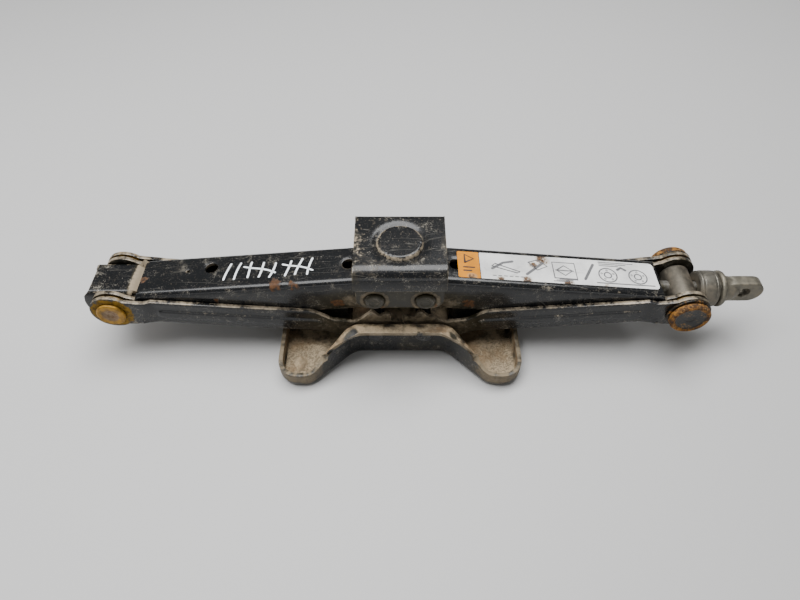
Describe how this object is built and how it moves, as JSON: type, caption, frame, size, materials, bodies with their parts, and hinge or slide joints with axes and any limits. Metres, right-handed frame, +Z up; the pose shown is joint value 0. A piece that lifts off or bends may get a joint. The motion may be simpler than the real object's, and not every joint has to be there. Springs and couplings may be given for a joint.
{
  "type": "car jack",
  "caption": "Folded scissor jack for a car: pressed base, geared channel arms, saddle pad, lead screw with thrust bearing and drive eye.",
  "frame": {"origin": "middle of the base's flat underside, on the ground", "axes": "+X along the lead screw towards the drive eye, +Y to the rear, +Z up, towards the saddle"},
  "size_m": [0.422, 0.099, 0.0773],
  "materials": {
    "black_paint": "glossy black paint, scratched and worn to grey at the edges, with tan dust",
    "dusty_paint": "black paint under caked tan dust",
    "zinc_steel": "yellow zinc plate, dull and stained",
    "worn_steel": "bare grey steel, dull, with brown stains",
    "bright_steel": "clean bearing steel",
    "rusty_steel": "steel with an orange rust rim",
    "greased_steel": "dark steel with old grease",
    "white_label": null,
    "orange_label": null
  },
  "bodies": {
    "base": {"base_plate": "dusty_paint", "base_pin_left": "dusty_paint", "base_pin_right": "dusty_paint"},
    "lower_left_arm": {"lower_arm_left": "black_paint"},
    "lower_right_arm": {"lower_arm_right": "black_paint"},
    "left_trunnion": {"trunnion_nut": "zinc_steel", "nut_housing": "black_paint", "pivot_washer_left_front": "zinc_steel", "pivot_washer_left_rear": "zinc_steel"},
    "right_trunnion": {"bearing_trunnion": "worn_steel", "bearing_cup": "worn_steel", "thrust_race_inner": "bright_steel", "head_washer_front": "rusty_steel", "head_washer_rear": "rusty_steel", "pivot_washer_right_front": "zinc_steel", "pivot_washer_right_rear": "zinc_steel"},
    "upper_left_arm": {"upper_arm_left": "black_paint"},
    "upper_right_arm": {"upper_arm_right": "black_paint", "instruction_label": "white_label", "warning_label": "orange_label"},
    "saddle": {"saddle_cap": "black_paint", "saddle_cheek_front": "dusty_paint", "saddle_cheek_rear": "dusty_paint", "saddle_pin_left": "dusty_paint", "saddle_pin_right": "dusty_paint", "saddle_bush_left_front": "greased_steel", "saddle_bush_left_rear": "greased_steel", "saddle_bush_right_front": "greased_steel", "saddle_bush_right_rear": "greased_steel"},
    "bearing_balls": {"ball_cage": "bright_steel", "thrust_ball_1": "bright_steel", "thrust_ball_2": "bright_steel", "thrust_ball_3": "bright_steel", "thrust_ball_4": "bright_steel", "thrust_ball_5": "bright_steel", "thrust_ball_6": "bright_steel", "thrust_ball_7": "bright_steel", "thrust_ball_8": "bright_steel"},
    "screw": {"lead_screw": "greased_steel", "screw_stop": "greased_steel", "drive_eye": "worn_steel", "eye_roll_pin": "greased_steel", "thrust_race_outer": "bright_steel"}
  },
  "joints": [
    {"name": "fold", "type": "hinge", "parent": "base", "child": "lower_left_arm", "pos_m": [-0.015, 0, 0.0216], "axis": [0, 1, 0], "range_deg": [0, 58]},
    {"name": "lower_right_fold", "type": "hinge", "parent": "base", "child": "lower_right_arm", "pos_m": [0.015, 0, 0.0216], "axis": [0, -1, 0], "range_deg": [0, 58]},
    {"name": "left_trunnion_level", "type": "hinge", "parent": "lower_left_arm", "child": "left_trunnion", "pos_m": [-0.176, 0, 0.0368], "axis": [0, -1, 0], "range_deg": [0, 58]},
    {"name": "upper_left_fold", "type": "hinge", "parent": "left_trunnion", "child": "upper_left_arm", "pos_m": [-0.176, 0, 0.0368], "axis": [0, -1, 0], "range_deg": [0, 58]},
    {"name": "saddle_level", "type": "hinge", "parent": "upper_left_arm", "child": "saddle", "pos_m": [-0.015, 0, 0.052], "axis": [0, 1, 0], "range_deg": [0, 58]},
    {"name": "right_trunnion_level", "type": "hinge", "parent": "lower_right_arm", "child": "right_trunnion", "pos_m": [0.176, 0, 0.0368], "axis": [0, 1, 0], "range_deg": [0, 58]},
    {"name": "upper_right_fold", "type": "hinge", "parent": "right_trunnion", "child": "upper_right_arm", "pos_m": [0.176, 0, 0.0368], "axis": [0, 1, 0], "range_deg": [0, 58]},
    {"name": "screw_spin", "type": "hinge", "parent": "right_trunnion", "child": "screw", "pos_m": [0.2, 0, 0.0368], "axis": [1, 0, 0], "continuous": true},
    {"name": "ball_ring_spin", "type": "hinge", "parent": "right_trunnion", "child": "bearing_balls", "pos_m": [0.1917, 0, 0.0368], "axis": [1, 0, 0], "continuous": true}
  ],
  "couplings": [
    {"joint": "lower_right_fold", "follows": "fold", "ratio": 1},
    {"joint": "left_trunnion_level", "follows": "fold", "ratio": 1},
    {"joint": "upper_left_fold", "follows": "fold", "ratio": 1},
    {"joint": "saddle_level", "follows": "fold", "ratio": 1},
    {"joint": "right_trunnion_level", "follows": "fold", "ratio": 1},
    {"joint": "upper_right_fold", "follows": "fold", "ratio": 1},
    {"joint": "ball_ring_spin", "follows": "screw_spin", "ratio": 0.5}
  ]
}
